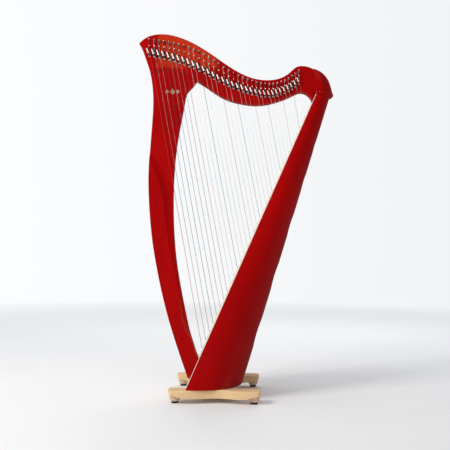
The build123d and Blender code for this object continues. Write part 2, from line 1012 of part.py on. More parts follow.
def rod(start, end, radius):
    """Round rod between two points."""
    with BuildPart() as piece:
        with BuildSketch(Plane(origin=start, z_dir=end - start)):
            Circle(radius)
        extrude(amount=(end - start).length)
    return piece.part


def string_pieces(string):
    """Upper run, speaking length, tail through the ribs and its knot."""
    down = (string.rib - string.bend).normalized()
    up = (string.wrap - string.bend).normalized()
    tail_top = string.rib - board_normal * string.mitre()
    knot_top = string.hole - board_normal * (board_thickness + inner_rib_thickness + knot_gap)
    bend_gap = 0.8
    return [
        rod(string.bend + down * bend_gap, string.rib - down * string.mitre(), string.radius),
        rod(string.wrap, string.bend + up * bend_gap, string.radius),
        rod(tail_top, knot_top, string.radius),
        rod(knot_top, knot_top - board_normal * knot_length, knot_radius),
    ]


def string_group(name, numbers):
    """All strings of one colour in one piece list."""
    with BuildPart() as group:
        add([piece for s in strings if s.number in numbers for piece in string_pieces(s)])
    group.part.label = name
    return group.part


all_numbers = set(range(1, string_count + 1))
natural_strings = all_numbers - set(red_strings) - set(black_strings)
strings_natural = string_group("strings_natural", natural_strings)
strings_red = string_group("strings_red", red_strings)
strings_black = string_group("strings_black", black_strings)


# ---- levers ----

def lever_plate(string):
    """Foot screwed to the neck, with a raised ring at its lower screw and a cheek for the pivot."""
    size = string.size
    ring_x, ring_y = string.ring()
    screw_x, screw_y = string.upper_screw()
    run = Vector(screw_x - ring_x, screw_y - ring_y, 0)
    turn = math.degrees(math.atan2(run.Y, run.X))
    with BuildPart() as plate:
        with BuildSketch(string.plane):
            with Locations(((ring_x + screw_x) / 2, (ring_y + screw_y) / 2)):
                SlotCenterToCenter(run.length, lever_foot_width * size, rotation=turn)
            with Locations((-2 * size, 0)):
                Rectangle((2 * cheek_offset - 4) * size, 8 * size)
        extrude(amount=lever_foot_thickness)
        with BuildSketch(string.plane):
            with Locations((ring_x, ring_y)):
                Circle(ring_radius * size)
        extrude(amount=string.ring_height)
        with BuildSketch(string.plane.offset(lever_foot_thickness)):
            with Locations((ring_x, ring_y)):
                Circle(ring_bore * size)
        extrude(amount=ring_height, mode=Mode.SUBTRACT)
        with BuildSketch(string.plane):
            with Locations((ring_x, ring_y), (screw_x, screw_y)):
                Circle(screw_radius + running_gap)
        extrude(amount=ring_height, mode=Mode.SUBTRACT)
        cheek_plane = Plane(
            origin=string.plane.from_local_coords(Vector(-cheek_offset * size, 0, 0)),
            x_dir=string.plane.y_dir,
            z_dir=string.across,
        )
        with BuildSketch(cheek_plane):
            with Locations((0, string.pivot_height / 2)):
                Rectangle(cheek_width * size, string.pivot_height)
            with Locations((0, string.pivot_height)):
                Circle(cheek_width * size / 2)
        extrude(amount=cheek_thickness * size)
        with BuildSketch(cheek_plane):
            with Locations((0, string.pivot_height)):
                Circle(pivot_pin_radius * size + running_gap)
        extrude(amount=cheek_thickness * size, mode=Mode.SUBTRACT)
    return plate.part


def lever_arm(string):
    """Lever with its round hub, pivot pin, handle and the finger that holds the string down."""
    size = string.size
    hub_bottom = string.pivot_height - hub_below_pivot
    pin_length = (cheek_offset + 0.2) * size
    side_plane = Plane(origin=string.pivot, x_dir=string.plane.y_dir, z_dir=string.across)
    with BuildPart() as arm:
        with BuildSketch(string.plane.offset(hub_bottom)):
            Circle(hub_radius * size)
        extrude(amount=hub_height)
        fillet(arm.edges().sort_by(Axis.Y)[0], 0.8)
        with BuildSketch(string.plane.offset(string.pivot_height - 0.6)):
            with BuildLine():
                near = handle_half_width * size
                far = handle_tip_half_width * size
                shoulder = handle_straight * size
                Polyline((-far, shoulder), (-near, 0), (near, 0), (far, shoulder))
                ThreePointArc((far, shoulder), (0, handle_length * size), (-far, shoulder))
            make_face()
        extrude(amount=handle_thickness)
        with BuildSketch(side_plane.offset(-pin_length)):
            with Locations((0, string.pivot_height)):
                Circle(pivot_pin_radius * size)
        extrude(amount=pin_length)
        with BuildSketch(side_plane):
            with Locations((finger_forward, hub_bottom + finger_radius + finger_recess)):
                Circle(finger_radius)
        extrude(amount=finger_length * size)
    return arm.part


with BuildPart() as lever_plates:
    add([lever_plate(s) for s in strings])
lever_plates.part.label = "lever_plates"


def lever_screw_pair(string):
    """Lower screw sunk inside the ring and upper screw beside the bridge pin."""
    low_head = min(screw_head_height, string.ring_height - lever_foot_thickness - 0.4)
    with BuildPart() as screws:
        for place, head_height in ((string.ring(), low_head), (string.upper_screw(), screw_head_height)):
            with BuildSketch(string.plane.offset(lever_foot_thickness)):
                with Locations(place):
                    Circle(screw_head_radius * string.size)
            extrude(amount=head_height)
            with BuildSketch(string.plane.offset(lever_foot_thickness)):
                with Locations(place):
                    Circle(screw_radius)
            extrude(amount=-lever_foot_thickness - screw_depth)
    return screws.part


with BuildPart() as lever_screws:
    add([lever_screw_pair(s) for s in strings])
lever_screws.part.label = "lever_screws"


# ---- export ----

pieces = [
    foot_pads.part,
    foot_knobs.part,
    drilled(foot_bar_left, "foot_bar_left"),
    drilled(foot_bar_right, "foot_bar_right"),
    soundbox_shell,
    drilled(soundboard.part, "soundboard"),
    string_rib.part,
    inner_rib.part,
    string_eyelets.part,
    side_linings.part,
    soundbox_braces.part,
    drilled(bottom_board.part, "bottom_board"),
    drilled(top_block.part, "top_block"),
    drilled(pillar_block.part, "pillar_block"),
    drilled(neck.part, "neck"),
    drilled(pillar.part, "pillar"),
    drilled(shoulder_bead.part, "shoulder_bead"),
    shoulder_cap.part,
    joint_bolts.part,
    tuning_pins.part,
    bridge_pins.part,
    strings_natural,
    strings_red,
    strings_black,
    lever_plates.part,
    lever_screws.part,
]

for string in strings:
    arm = lever_arm(string)
    arm.label = f"lever_{string.number:02d}"
    pieces.append(arm)

for piece in pieces:
    export_step(piece, f"parts/{piece.label}.step")
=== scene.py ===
import json
import math

import bmesh
import bpy
import numpy as np
from mathutils import Matrix, Vector
from mathutils.bvhtree import BVHTree


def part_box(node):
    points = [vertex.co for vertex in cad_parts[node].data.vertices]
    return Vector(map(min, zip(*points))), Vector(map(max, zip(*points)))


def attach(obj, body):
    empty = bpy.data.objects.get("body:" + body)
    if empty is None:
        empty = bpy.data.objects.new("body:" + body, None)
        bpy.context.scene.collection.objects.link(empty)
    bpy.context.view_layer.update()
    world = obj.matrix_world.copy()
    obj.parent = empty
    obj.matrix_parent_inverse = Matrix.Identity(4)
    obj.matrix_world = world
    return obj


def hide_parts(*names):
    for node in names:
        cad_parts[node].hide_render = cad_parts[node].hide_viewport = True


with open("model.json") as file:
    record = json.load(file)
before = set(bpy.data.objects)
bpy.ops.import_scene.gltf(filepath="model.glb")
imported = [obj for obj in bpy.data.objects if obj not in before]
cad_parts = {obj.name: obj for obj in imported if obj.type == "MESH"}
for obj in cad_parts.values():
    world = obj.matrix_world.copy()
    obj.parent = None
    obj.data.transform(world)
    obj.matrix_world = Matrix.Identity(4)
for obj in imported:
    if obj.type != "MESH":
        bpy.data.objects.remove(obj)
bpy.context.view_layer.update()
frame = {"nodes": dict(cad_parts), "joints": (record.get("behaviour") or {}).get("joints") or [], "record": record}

nodes = frame["nodes"]
ROOT = "harp"
MM = 0.001
# Away from the neck's face where the levers are, and along the neck
OUT = Vector((0, -1, 0))
SIDE = Vector((1, 0, 0))


# ---------- camera ----------

# Place in metres, turn to the left, tilt upward and roll, and focal length in millimetres
CAMERA_PLACE = Vector((0.0428, -2.494, 0.5158))
CAMERA_YAW = math.radians(1.822)
CAMERA_PITCH = math.radians(3.044)
CAMERA_ROLL = math.radians(0.502)
CAMERA_LENS = 51.46


def make_camera():
    cy, sy = math.cos(CAMERA_YAW), math.sin(CAMERA_YAW)
    cp, sp = math.cos(CAMERA_PITCH), math.sin(CAMERA_PITCH)
    forward = Vector((-sy * cp, cy * cp, sp))
    right = Vector((cy, sy, 0))
    up = right.cross(forward)
    cr, sr = math.cos(CAMERA_ROLL), math.sin(CAMERA_ROLL)
    rolled_right = cr * right + sr * up
    rolled_up = cr * up - sr * right
    data = bpy.data.cameras.new("camera")
    data.lens = CAMERA_LENS
    data.sensor_width = 36
    data.clip_end = 50
    camera = bpy.data.objects.new("camera", data)
    bpy.context.scene.collection.objects.link(camera)
    turn = Matrix((rolled_right, rolled_up, -forward)).transposed().to_4x4()
    camera.matrix_world = Matrix.Translation(CAMERA_PLACE) @ turn
    bpy.context.scene.camera = camera


make_camera()


# ---------- materials ----------

class Finish:
    """A material made of nodes, with short ways to add texture, colour and bump."""

    def __init__(self, name):
        self.material = bpy.data.materials.new(name)
        self.material.use_nodes = True
        self.tree = self.material.node_tree
        self.tree.nodes.clear()
        self.out = self.tree.nodes.new("ShaderNodeOutputMaterial")
        self.shader = self.tree.nodes.new("ShaderNodeBsdfPrincipled")
        self.tree.links.new(self.shader.outputs[0], self.out.inputs[0])
        self.place = self.tree.nodes.new("ShaderNodeTexCoord").outputs["Object"]
        self.normal = None

    def set(self, **values):
        for name, value in values.items():
            self.shader.inputs[name.replace("_", " ")].default_value = value

    def put(self, socket, value):
        if hasattr(value, "is_linked"):
            self.tree.links.new(value, socket)
        else:
            socket.default_value = value

    def mapped(self, scale, turn=(0, 0, 0), source=None):
        node = self.tree.nodes.new("ShaderNodeMapping")
        node.vector_type = "TEXTURE" if turn != (0, 0, 0) else "POINT"
        if turn != (0, 0, 0):
            # first turn into the grain's own directions, then stretch
            node.inputs["Rotation"].default_value = turn
            self.put(node.inputs["Vector"], source or self.place)
            return self.mapped(scale, source=node.outputs[0])
        node.inputs["Scale"].default_value = scale
        self.put(node.inputs["Vector"], source or self.place)
        return node.outputs[0]

    def noise(self, vector, detail, rough=0.5, warp=0.0):
        node = self.tree.nodes.new("ShaderNodeTexNoise")
        self.put(node.inputs["Vector"], vector)
        node.inputs["Scale"].default_value = 1.0
        node.inputs["Detail"].default_value = detail
        node.inputs["Roughness"].default_value = rough
        node.inputs["Distortion"].default_value = warp
        return node.outputs["Fac"]

    def wave(self, vector, detail, warp=0.0):
        node = self.tree.nodes.new("ShaderNodeTexWave")
        node.bands_direction = "Y"
        self.put(node.inputs["Vector"], vector)
        node.inputs["Scale"].default_value = 1.0
        node.inputs["Distortion"].default_value = warp
        node.inputs["Detail"].default_value = detail
        return node.outputs["Fac"]

    def ramp(self, value, first, second):
        """Colour that runs between two stops, each a value and a colour."""
        node = self.tree.nodes.new("ShaderNodeValToRGB")
        self.put(node.inputs[0], value)
        for element, (place, color) in zip(node.color_ramp.elements, (first, second)):
            element.position = place
            element.color = (*color, 1)
        return node.outputs[0]

    def span(self, value, low, high, start=0.0, end=1.0):
        """Value taken from one range to another, and held at its ends."""
        node = self.tree.nodes.new("ShaderNodeMapRange")
        self.put(node.inputs[0], value)
        for i, number in enumerate((low, high, start, end)):
            node.inputs[i + 1].default_value = number
        return node.outputs[0]

    def mix(self, share, a, b):
        node = self.tree.nodes.new("ShaderNodeMix")
        node.data_type = "RGBA"
        self.put(node.inputs[0], share)
        for socket, value in ((node.inputs[6], a), (node.inputs[7], b)):
            self.put(socket, (*value, 1) if isinstance(value, tuple) else value)
        return node.outputs[2]

    def math(self, operation, a, b=0.0):
        node = self.tree.nodes.new("ShaderNodeMath")
        node.operation = operation
        self.put(node.inputs[0], a)
        self.put(node.inputs[1], b)
        return node.outputs[0]

    def color(self, value):
        self.put(self.shader.inputs["Base Color"], value)

    def dot(self, vector, direction):
        node = self.tree.nodes.new("ShaderNodeVectorMath")
        node.operation = "DOT_PRODUCT"
        self.put(node.inputs[0], vector)
        node.inputs[1].default_value = direction
        return node.outputs["Value"]

    def rough(self, value):
        self.put(self.shader.inputs["Roughness"], value)

    def bump(self, height, depth, strength):
        node = self.tree.nodes.new("ShaderNodeBump")
        node.inputs["Strength"].default_value = strength
        node.inputs["Distance"].default_value = depth
        self.put(node.inputs["Height"], height)
        if self.normal is not None:
            self.put(node.inputs["Normal"], self.normal)
        self.normal = node.outputs[0]
        self.put(self.shader.inputs["Normal"], self.normal)


def lacquer(name, deep, bright):
    """Opaque gloss lacquer over wood, with the grain faintly showing."""
    f = Finish(name)
    grain = f.noise(f.mapped((70, 70, 5)), detail=5, rough=0.6, warp=0.3)
    cloud = f.noise(f.mapped((3.5, 3.5, 3.5)), detail=2)
    pores = f.noise(f.mapped((900, 900, 60)), detail=2)
    body = f.ramp(grain, (0.25, deep), (0.8, bright))
    shade = f.span(cloud, 0.3, 0.7, 0.0, 1.0)
    tint = f.mix(shade, tuple(0.9 * c for c in deep), bright)
    f.color(f.mix(0.45, body, tint))
    smear = f.noise(f.mapped((14, 14, 9)), detail=4, rough=0.65)
    f.rough(f.span(smear, 0.3, 0.75, 0.3, 0.42))
    f.set(Specular_IOR_Level=0.05, Coat_Weight=0.4, Coat_Roughness=0.05)
    f.bump(f.noise(f.mapped((150, 150, 150)), detail=1), 0.00006, 0.3)
    f.bump(pores, 0.00002, 0.2)
    return f


def grained(name, pale, dark, fleck, turn=(0, 0, 0), gloss=0.42, coat=0.25, line=46.0):
    """Bare or oiled wood whose grain runs along local X after the turn."""
    f = Finish(name)
    along = f.mapped((3.2, line, line), turn)
    figure = f.noise(along, detail=5, rough=0.62, warp=0.6)
    rings = f.wave(f.mapped((0.6, 22, 9), turn), detail=3, warp=5.0)
    cloud = f.noise(f.mapped((6, 9, 9)), detail=3)
    pores = f.noise(f.mapped((55, 1400, 1400), turn), detail=2, rough=0.6)
    rays = f.noise(f.mapped((240, 900, 900), turn), detail=1)
    base = f.ramp(figure, (0.28, dark), (0.72, pale))
    ringed = f.mix(f.span(rings, 0.0, 1.0, 0.0, 0.28), base, dark)
    warm = f.mix(f.span(cloud, 0.3, 0.75, 0.0, 0.35), ringed, tuple(0.82 * c for c in pale))
    spotted = f.mix(f.span(rays, 0.62, 0.72, 0.0, 0.55), warm, fleck)
    f.color(f.mix(f.span(pores, 0.6, 0.75, 0.0, 0.35), spotted, tuple(0.6 * c for c in dark)))
    f.rough(f.span(figure, 0.2, 0.8, gloss + 0.1, gloss - 0.05))
    f.set(Coat_Weight=coat, Coat_Roughness=0.3)
    f.bump(pores, 0.00012, 0.35)
    f.bump(figure, 0.0002, 0.2)
    return f


def wood(*look, **more):
    return grained(*look, **more).material


def metal(name, bright, dull, low, high, scratch=0.25):
    """Plated or brushed metal, with fine scratches and a slightly uneven shine."""
    f = Finish(name)
    cloud = f.noise(f.mapped((220, 220, 220)), detail=3)
    lines = f.noise(f.mapped((400, 9000, 9000)), detail=2, rough=0.7)
    f.color(f.mix(f.span(cloud, 0.35, 0.7), bright, dull))
    f.rough(f.span(lines, 0.3, 0.7, low, high))
    f.set(Metallic=1.0)
    f.bump(lines, 0.00002, scratch)
    return f.material


def rubber(name):
    f = Finish(name)
    cloud = f.noise(f.mapped((90, 90, 90)), detail=3)
    grit = f.noise(f.mapped((2400, 2400, 2400)), detail=2)
    f.color(f.ramp(cloud, (0.3, (0.012, 0.012, 0.013)), (0.8, (0.035, 0.034, 0.033))))
    f.rough(f.span(cloud, 0.3, 0.8, 0.62, 0.85))
    f.bump(grit, 0.00008, 0.4)
    return f.material


def nylon(name, clear, shade, through=0.0):
    """Smooth drawn string, which may let light through; its length runs along V, in metres."""
    f = Finish(name)
    v = f.tree.nodes.new("ShaderNodeTexCoord").outputs["UV"]
    cloud = f.noise(f.mapped((3, 60, 1), source=v), detail=2)
    worn = f.noise(f.mapped((8, 900, 1), source=v), detail=2)
    f.color(f.mix(f.span(cloud, 0.3, 0.7), clear, shade))
    f.rough(f.span(worn, 0.3, 0.7, 0.22, 0.37))
    f.set(Coat_Weight=0.3, Coat_Roughness=0.12, Transmission_Weight=through, IOR=1.5)
    f.bump(worn, 0.00002, 0.2)
    return f.material


def wound(name):
    """Bass string with a metal winding; its length runs along V, in metres."""
    f = Finish(name)
    v = f.tree.nodes.new("ShaderNodeTexCoord").outputs["UV"]
    turns = f.wave(f.mapped((0.4, 220, 1), source=v), detail=0)
    cloud = f.noise(f.mapped((2, 45, 1), source=v), detail=3)
    f.color(f.mix(f.span(cloud, 0.3, 0.7), (0.42, 0.4, 0.38), (0.3, 0.27, 0.24)))
    f.rough(f.span(cloud, 0.3, 0.7, 0.28, 0.42))
    f.set(Metallic=0.85)
    f.bump(turns, 0.00012, 0.8)
    return f.material


RED_DEEP = (0.33, 0.0004, 0.0009)
RED_BRIGHT = (0.44, 0.0012, 0.0014)

# The soundboard leans back from upright; its grain runs up along it, and a binding edges its front
BOARD_LEAN = math.radians(23.423)
BOARD_TURN = (0, BOARD_LEAN - math.radians(90), 0)
BOARD_NORMAL = Vector((-math.cos(BOARD_LEAN), 0, math.sin(BOARD_LEAN)))
BINDING = 1.6 * MM
BINDING_BLUR = 0.2 * MM


def board_finish():
    """Spruce soundboard whose edge is a pale binding in front, with lacquer behind it."""
    f = grained("spruce", (0.86, 0.72, 0.5), (0.76, 0.56, 0.34), (0.6, 0.4, 0.22),
             turn=BOARD_TURN, gloss=0.34, coat=0.5, line=260.0)
    face = f.shader.inputs["Base Color"].links[0].from_socket
    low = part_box("soundboard")[0]
    front = Vector((low.x, 0, low.z)).dot(BOARD_NORMAL)
    depth = f.math("SUBTRACT", front, f.dot(f.place, BOARD_NORMAL))
    grain = f.noise(f.mapped((300, 300, 12)), detail=3)
    pale = f.ramp(grain, (0.3, (0.84, 0.78, 0.68)), (0.7, (0.93, 0.89, 0.82)))
    edge = f.mix(f.span(depth, BINDING, BINDING + BINDING_BLUR), pale, RED_DEEP)
    normal = f.tree.nodes.new("ShaderNodeTexCoord").outputs["Normal"]
    sideways = f.math("ABSOLUTE", f.dot(normal, (0, 1, 0)))
    f.color(f.mix(f.span(sideways, 0.7, 0.75), face, edge))
    return f.material


finishes = {
    "red": lacquer("red_lacquer", RED_DEEP, RED_BRIGHT).material,
    "beech": wood("beech", (0.98, 0.7, 0.39), (0.86, 0.57, 0.29), (0.46, 0.24, 0.11)),
    "beech_turned": wood("beech_turned", (0.86, 0.62, 0.45), (0.72, 0.48, 0.33), (0.42, 0.24, 0.14),
                         turn=(0, math.radians(90), 0)),
    "spruce": board_finish(),
    "maple": wood("maple", (0.95, 0.92, 0.85), (0.87, 0.82, 0.72), (0.7, 0.6, 0.45),
                  turn=BOARD_TURN, gloss=0.32, coat=0.5),
    "plain_wood": wood("plain_wood", (0.6, 0.45, 0.29), (0.48, 0.33, 0.19), (0.3, 0.18, 0.1),
                       gloss=0.6, coat=0.0),
    "rubber": rubber("rubber"),
    "brass": metal("brass", (0.83, 0.6, 0.26), (0.68, 0.46, 0.19), 0.2, 0.34),
    "inlay_gold": metal("inlay_gold", (0.88, 0.72, 0.48), (0.74, 0.58, 0.36), 0.34, 0.5),
    "steel": metal("steel", (0.55, 0.55, 0.56), (0.42, 0.42, 0.43), 0.25, 0.4),
    "nickel": metal("nickel", (0.9, 0.88, 0.84), (0.74, 0.72, 0.68), 0.1, 0.2, scratch=0.12),
    "lever_metal": metal("lever_metal", (0.95, 0.93, 0.89), (0.82, 0.8, 0.76), 0.14, 0.26),
    "dark_steel": metal("dark_steel", (0.05, 0.047, 0.047), (0.025, 0.024, 0.024), 0.3, 0.45),
    # near-black for the lever plates is painted shade where the brackets lie in shade
    "plate_painted_shade": metal("plate_painted_shade", (0.035, 0.033, 0.033), (0.018, 0.017, 0.017), 0.3, 0.45),
    "string_clear": nylon("string_clear", (0.96, 0.94, 0.92), (0.86, 0.84, 0.82), through=0.75),
    "string_red": nylon("string_red", (0.62, 0.03, 0.035), (0.45, 0.015, 0.02)),
    "string_black": nylon("string_black", (0.02, 0.021, 0.028), (0.045, 0.045, 0.055)),
    "string_wound": wound("string_wound"),
    "insert_red": nylon("insert_red", (0.6, 0.01, 0.012), (0.42, 0.006, 0.008)),
    "insert_black": nylon("insert_black", (0.015, 0.016, 0.02), (0.03, 0.03, 0.036)),
}

slot_finish = {
    "red_lacquer": "red", "beech": "beech", "beech_turned": "beech_turned", "spruce": "spruce",
    "maple": "maple", "plain_wood": "plain_wood", "rubber": "rubber", "brass": "brass",
    "steel": "steel", "nickel": "nickel", "lever_metal": "lever_metal", "dark_steel": "dark_steel",
    "string_clear": "string_clear", "string_red": "string_red", "string_black": "string_black",
}
slot_of = {part["node"]: part["material_slot"] for part in frame["record"]["subparts"]}
for name, node in nodes.items():
    node.data.materials.clear()
    node.data.materials.append(finishes[slot_finish[slot_of[name]]])


# Middle of the soundbox, from its foot to its top, and how level a face is before it is left alone
SHELL_MIDDLE_X = -0.12
SHELL_MIDDLE_RISE = 0.43
LEVEL_FACE = 0.8


def line_inside(node, finish):
    """Gives the faces of a hollow shell that look inward another finish."""
    mesh = node.data
    mesh.materials.append(finish)
    low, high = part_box(node.name)
    for face in mesh.polygons:
        share = (face.center.z - low.z) / (high.z - low.z)
        middle_x = SHELL_MIDDLE_X + share * SHELL_MIDDLE_RISE
        outward = Vector((face.center.x - middle_x, face.center.y, 0))
        if face.normal.dot(outward) < 0 and abs(face.normal.z) < LEVEL_FACE:
            face.material_index = 1


line_inside(nodes["soundbox_shell"], finishes["plain_wood"])


# ---------- meshes ----------

class Shape:
    """Collects rings of points into one mesh, with lengths kept as UV."""

    def __init__(self):
        self.verts = []
        self.faces = []
        self.uvs = []

    def rings(self, rings):
        """Skin over a row of rings, closed at both ends."""
        count = len(rings[0])
        first = len(self.verts)
        run = 0.0
        runs = []
        for i, ring in enumerate(rings):
            if i:
                run += (sum(ring, Vector()) / count - sum(rings[i - 1], Vector()) / count).length
            runs.append(run)
            self.verts.extend(tuple(p) for p in ring)
        for i in range(len(rings) - 1):
            for j in range(count):
                k = (j + 1) % count
                a = first + i * count
                b = a + count
                self.faces.append((a + j, a + k, b + k, b + j))
                u0, u1 = j / count, (j + 1) / count
                self.uvs.append(((u0, runs[i]), (u1, runs[i]), (u1, runs[i + 1]), (u0, runs[i + 1])))
        last = first + (len(rings) - 1) * count
        self.faces.append(tuple(range(first + count - 1, first - 1, -1)))
        self.faces.append(tuple(range(last, last + count)))
        self.uvs += [((0.5, run),) * count] * 2

    def tube(self, path, radius, sides):
        """Round tube along a path."""
        rings = []
        side = None
        for i, p in enumerate(path):
            ahead = path[min(i + 1, len(path) - 1)] - path[max(i - 1, 0)]
            ahead.normalize()
            if side is None:
                side = ahead.orthogonal().normalized()
            side = (side - ahead * side.dot(ahead)).normalized()
            other = ahead.cross(side)
            ring = []
            for j in range(sides):
                t = 2 * math.pi * j / sides
                ring.append(p + radius * (math.cos(t) * side + math.sin(t) * other))
            rings.append(ring)
        self.rings(rings)

    def lathe(self, start, profile, sides, shape=None):
        """Shape turned about an axis along OUT: profile is (distance along it, radius) pairs."""
        other = OUT.cross(SIDE)
        rings = []
        for along, radius in profile:
            ring = []
            for j in range(sides):
                t = 2 * math.pi * j / sides
                r = shape(along, radius, t) if shape else radius
                ring.append(start + along * OUT + r * (math.cos(t) * SIDE + math.sin(t) * other))
            rings.append(ring)
        self.rings(rings)

    def make(self, name, finish, body, replaced=(), sharp=None):
        """The collected mesh as a piece that rides on a body and may replace CAD nodes."""
        mesh = bpy.data.meshes.new(name)
        mesh.from_pydata(self.verts, [], self.faces)
        layer = mesh.uv_layers.new(name="UVMap")
        layer.data.foreach_set("uv", [c for face in self.uvs for uv in face for c in uv])
        mesh.polygons.foreach_set("use_smooth", [True] * len(self.faces))
        mesh.materials.append(finishes[finish])
        mesh.update()
        if sharp is not None:
            mesh.set_sharp_from_angle(angle=math.radians(sharp))
        piece = bpy.data.objects.new(name, mesh)
        bpy.context.scene.collection.objects.link(piece)
        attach(piece, body)
        if replaced:
            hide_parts(*replaced)
        return piece


def lumps(node_name):
    """The separate solids of a CAD node, each as an array of its points."""
    source = nodes[node_name].data
    work = bmesh.new()
    work.from_mesh(source)
    bmesh.ops.remove_doubles(work, verts=work.verts, dist=1e-6)
    work.verts.ensure_lookup_table()
    seen = set()
    found = []
    for vert in work.verts:
        if vert.index in seen:
            continue
        group = []
        stack = [vert]
        seen.add(vert.index)
        while stack:
            v = stack.pop()
            group.append(tuple(v.co))
            for edge in v.link_edges:
                w = edge.other_vert(v)
                if w.index not in seen:
                    seen.add(w.index)
                    stack.append(w)
        found.append(np.array(group))
    work.free()
    return found


# What tells the rods of a string apart: unevenness of a plain rod, radius of a tail with its knot,
# and length of the speaking part
PLAIN_ROD_SPREAD = 0.3 * MM
KNOT_RADIUS_OVER = 2 * MM
SPEAKING_LENGTH_OVER = 100 * MM


class Rod:
    """A straight CAD rod: its two ends, from the higher to the lower, and its radius."""

    def __init__(self, points):
        middle = points.mean(0)
        _, _, rows = np.linalg.svd(points - middle, full_matrices=False)
        best = None
        for axis in rows:
            along = (points - middle) @ axis
            off = np.linalg.norm(points - middle - np.outer(along, axis), axis=1)
            spread = off.max() - off.min()
            if best is None or spread < best[0]:
                best = (spread, axis, along, off)
        if best[0] > PLAIN_ROD_SPREAD:
            # not one plain rod but a tail with its knot, so the longest direction is the axis
            along = (points - middle) @ rows[0]
            off = np.linalg.norm(points - middle - np.outer(along, rows[0]), axis=1)
            best = (0, rows[0], along, off)
        _, axis, along, off = best
        a = Vector(middle + axis * along.max())
        b = Vector(middle + axis * along.min())
        self.top, self.bottom = (a, b) if a.z > b.z else (b, a)
        self.length = (a - b).length
        self.radius = float(off.max())


def nearest(rods, point, end):
    """The rod whose top or bottom is nearest to a point."""
    return min(rods, key=lambda rod: (getattr(rod, end) - point).length)


class PinPlace:
    """Axis and reach of a pin that stands along Y."""

    def __init__(self, points):
        self.x = float(points[:, 0].min() + points[:, 0].max()) / 2
        self.z = float(points[:, 2].min() + points[:, 2].max()) / 2
        self.tip = float(points[:, 1].min())
        self.far = float(points[:, 1].max())


def pin_places(node_name):
    return sorted((PinPlace(points) for points in lumps(node_name)), key=lambda place: place.x)


tuning_places = pin_places("tuning_pins")
bridge_places = pin_places("bridge_pins")
neck_low, neck_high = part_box("neck")
PIN_RADIUS = 2.5 * MM
BRIDGE_RADIUS = 1.6 * MM


def string_paths(node_name):
    """The stretches of each string in a CAD node: speaking length, upper run, tail with its knot."""
    rods = [Rod(points) for points in lumps(node_name)]
    tails = [r for r in rods if r.radius > KNOT_RADIUS_OVER]
    speaking = [r for r in rods if r.length > SPEAKING_LENGTH_OVER]
    upper = [r for r in rods if r not in speaking and r not in tails]
    found = []
    for run in sorted(speaking, key=lambda r: r.top.x):
        above = nearest(upper, run.top, "bottom")
        tail = nearest(tails, run.bottom, "top")
        found.append((run, above, tail))
    return found


# Turns of string round a tuning pin, how far apart they are in string radii, and their clearance
COIL_TURNS = 3.25
COIL_STEPS = 22
COIL_PITCH = 2.06
COIL_CLEARANCE = 0.04 * MM
# Longest straight step down the string, sides of its tube, and the knot at its end
STRING_STEP = 0.05
STRING_SIDES = 12
KNOT_LENGTH = 4 * MM
KNOT_STEPS = 32


def string_line(run, above, tail):
    """Path of one string: coil on the tuning pin, past the bridge pin, down to the rib and inside."""
    pin = min(tuning_places, key=lambda p: abs(p.x - above.top.x) + abs(p.z - above.top.z))
    radius = run.radius
    coil = PIN_RADIUS + radius + COIL_CLEARANCE
    path = []
    steps = int(COIL_TURNS * COIL_STEPS)
    for i in range(steps, -1, -1):
        t = math.pi - 2 * math.pi * i / COIL_STEPS
        y = above.top.y + COIL_PITCH * radius * i / COIL_STEPS
        path.append(Vector((pin.x + coil * math.cos(t), y, pin.z + coil * math.sin(t))))
    end = path[0]
    path.insert(0, Vector((pin.x, end.y + 0.5 * radius, pin.z)))
    path.append(above.bottom.copy())
    path.append(run.top.copy())
    steps = max(6, int(run.length / STRING_STEP))
    for i in range(1, steps):
        path.append(run.top.lerp(run.bottom, i / steps))
    path.append(run.bottom.copy())
    path.append(tail.top.lerp(run.bottom, 0.3))
    path.append(tail.top.lerp(tail.bottom, 0.15))
    path.append(tail.bottom + (tail.top - tail.bottom).normalized() * KNOT_LENGTH)
    return path


def knot_shape(shape, tail, radius):
    """Small double loop that stops the string behind the inner rib."""
    down = (tail.bottom - tail.top).normalized()
    side = down.orthogonal().normalized()
    other = down.cross(side)
    path = []
    for i in range(KNOT_STEPS + 1):
        t = 4 * math.pi * i / KNOT_STEPS
        wide = 1.3 * MM + 0.35 * MM * math.sin(2.5 * t)
        place = tail.bottom + down * (0.9 * MM + 1.9 * MM * i / KNOT_STEPS - KNOT_LENGTH)
        path.append(place + wide * (math.cos(t) * side + math.sin(t) * other))
    shape.tube(path, min(radius, 0.7 * MM), 8)


# How many of the lowest pins hold wound strings
WOUND_COUNT = 8



def make_strings(node_name, finish):
    """Strings of one colour; the lowest of the natural ones are wound with metal."""
    drawn = Shape()
    wrapped = Shape()
    for run, above, tail in string_paths(node_name):
        rank = min(range(len(tuning_places)), key=lambda i: abs(tuning_places[i].x - above.top.x))
        is_wound = node_name == "strings_natural" and rank < WOUND_COUNT
        target = wrapped if is_wound else drawn
        target.tube(string_line(run, above, tail), run.radius, STRING_SIDES)
        knot_shape(target, tail, run.radius)
    drawn.make(node_name + "_drawn", finish, ROOT, [node_name])
    if wrapped.verts:
        wrapped.make(node_name + "_wound", "string_wound", ROOT, [node_name])


make_strings("strings_natural", "string_clear")
make_strings("strings_red", "string_red")
make_strings("strings_black", "string_black")


# ---------- pins ----------

KEY_HALF_WIDTH = 2.2 * MM
THREAD_PITCH = 0.6 * MM
THREAD_DEPTH = 0.14 * MM
PIN_SIDES = 28
BRIDGE_PIN_SIDES = 24


def pin_thread(start, end):
    """Fine thread of a tuning pin as a run of small grooves."""
    points = []
    count = int(abs(end - start) / THREAD_PITCH)
    step = (end - start) / count
    for i in range(count):
        points.append((start + i * step, PIN_RADIUS - THREAD_DEPTH))
        points.append((start + (i + 0.5) * step, PIN_RADIUS))
    points.append((end, PIN_RADIUS - THREAD_DEPTH))
    return points


